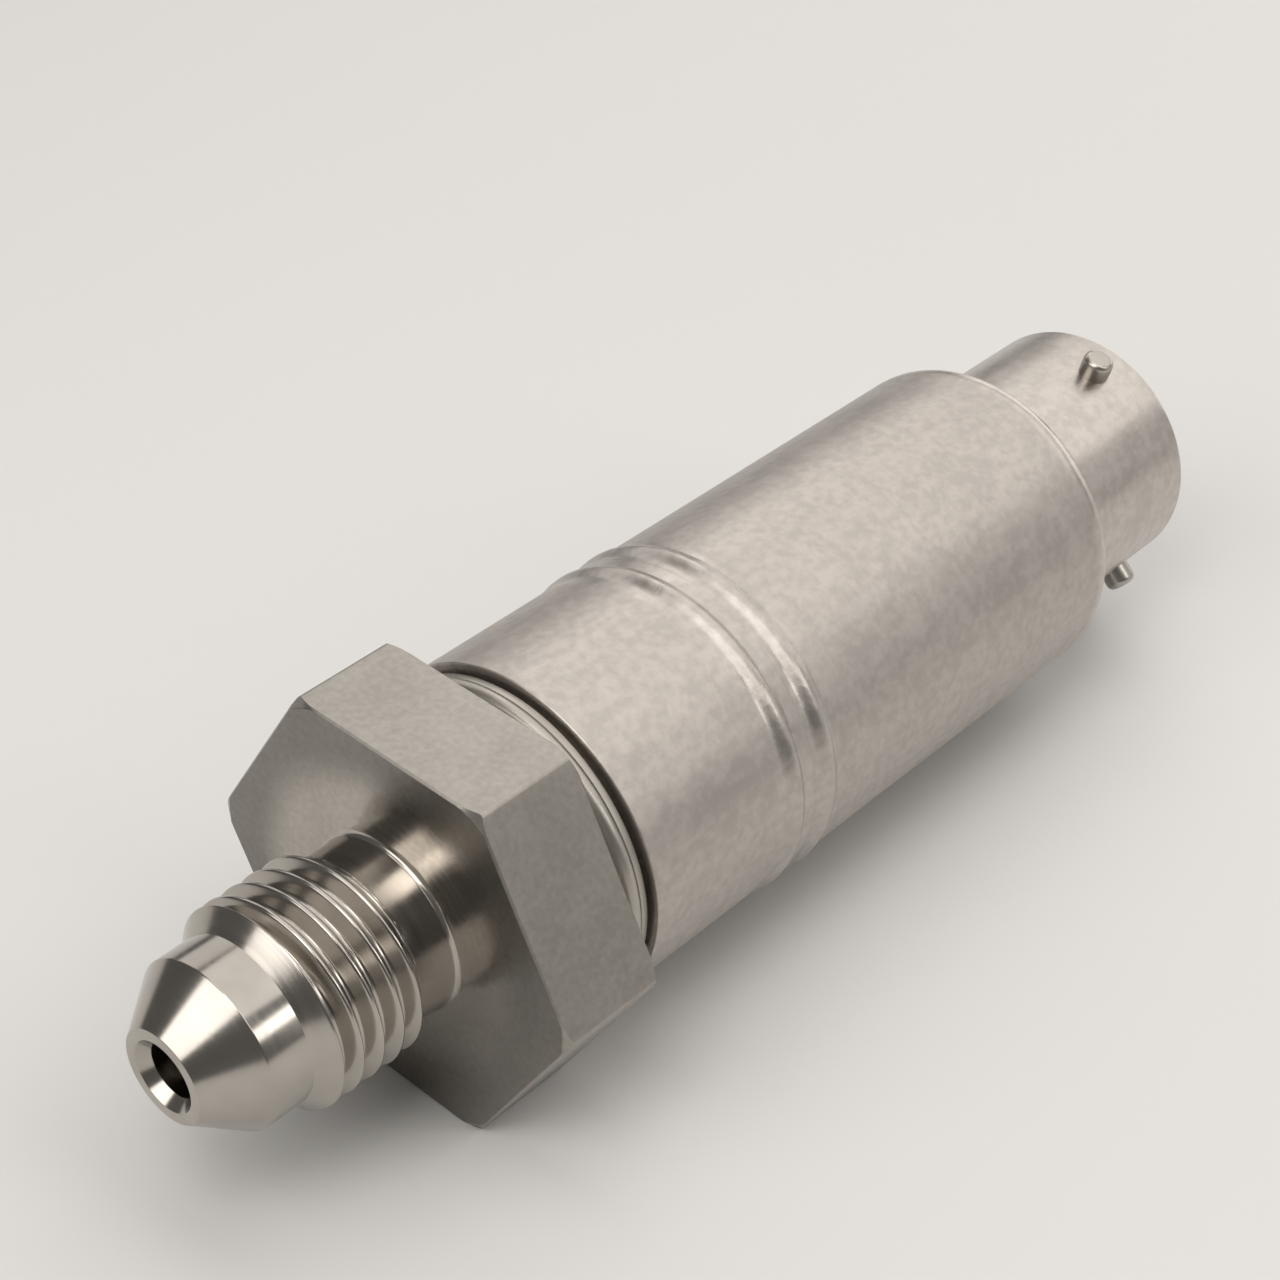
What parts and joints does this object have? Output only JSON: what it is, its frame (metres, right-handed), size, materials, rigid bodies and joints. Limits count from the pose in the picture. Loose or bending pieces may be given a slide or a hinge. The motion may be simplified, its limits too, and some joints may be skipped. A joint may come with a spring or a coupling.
{
  "type": "pressure and temperature transmitter",
  "caption": "Stainless pressure and temperature transmitter with a flared threaded port, a hexagon, welded sleeves and a bayonet connector",
  "frame": {"origin": "Centre of the nose face at the front of the pressure port, on the axis of the part", "axes": "+X runs along the axis from the nose to the connector. +Z stands on one flat of the hexagon. +Y completes a right-handed frame and points at a corner of the hexagon."},
  "size_m": [0.0724, 0.0242, 0.0208],
  "materials": {
    "turned_steel": "turned and milled stainless, bright",
    "satin_steel": "fine satin stainless with bright weld beads",
    "sealing_glass": "fused sealing glass, dark green",
    "gold_plate": "thin bright plating on contacts",
    "silicon": "polished die and its pedestal",
    "element_ceramic": "matt fired ceramic",
    "potting": "plain insulating plastic",
    "seal_rubber": "soft sealing face",
    "board_laminate": "circuit board laminate",
    "chip_package": "moulded packages"
  },
  "bodies": {
    "root": {"port_fitting": "turned_steel", "cell_block": "turned_steel", "weld_ring": "turned_steel", "isolation_diaphragm": "turned_steel", "capsule_body": "turned_steel", "header_glass": "sealing_glass", "header_pin_1": "gold_plate", "header_pin_2": "gold_plate", "header_pin_3": "gold_plate", "header_pin_4": "gold_plate", "die_pedestal": "silicon", "sensing_die": "silicon", "fill_tube": "turned_steel", "thermowell": "turned_steel", "rtd_element": "element_ceramic", "rtd_lead_1": "gold_plate", "rtd_lead_2": "gold_plate", "thermowell_seal": "potting", "front_sleeve": "satin_steel", "joining_ring": "satin_steel", "rear_sleeve": "satin_steel", "connector_shell": "satin_steel", "bayonet_pin_1": "turned_steel", "bayonet_pin_2": "turned_steel", "bayonet_pin_3": "turned_steel", "glass_seal": "sealing_glass", "interfacial_seal": "seal_rubber", "contact_pin_1": "gold_plate", "contact_pin_2": "gold_plate", "contact_pin_3": "gold_plate", "contact_pin_4": "gold_plate", "contact_pin_5": "gold_plate", "contact_pin_6": "gold_plate", "front_board": "board_laminate", "board_standoff_1": "turned_steel", "board_standoff_2": "turned_steel", "board_standoff_3": "turned_steel", "board_screws": "turned_steel", "main_board": "board_laminate", "rear_board": "board_laminate", "insulating_tube": "potting", "amplifier_chip": "chip_package", "processor_chip": "chip_package", "regulator_chip": "chip_package", "chip_capacitor_1": "element_ceramic", "chip_capacitor_2": "element_ceramic", "chip_capacitor_3": "element_ceramic", "chip_capacitor_4": "element_ceramic", "chip_resistor_1": "element_ceramic", "chip_resistor_2": "element_ceramic", "chip_resistor_3": "element_ceramic", "chip_resistor_4": "element_ceramic"}
  },
  "joints": []
}
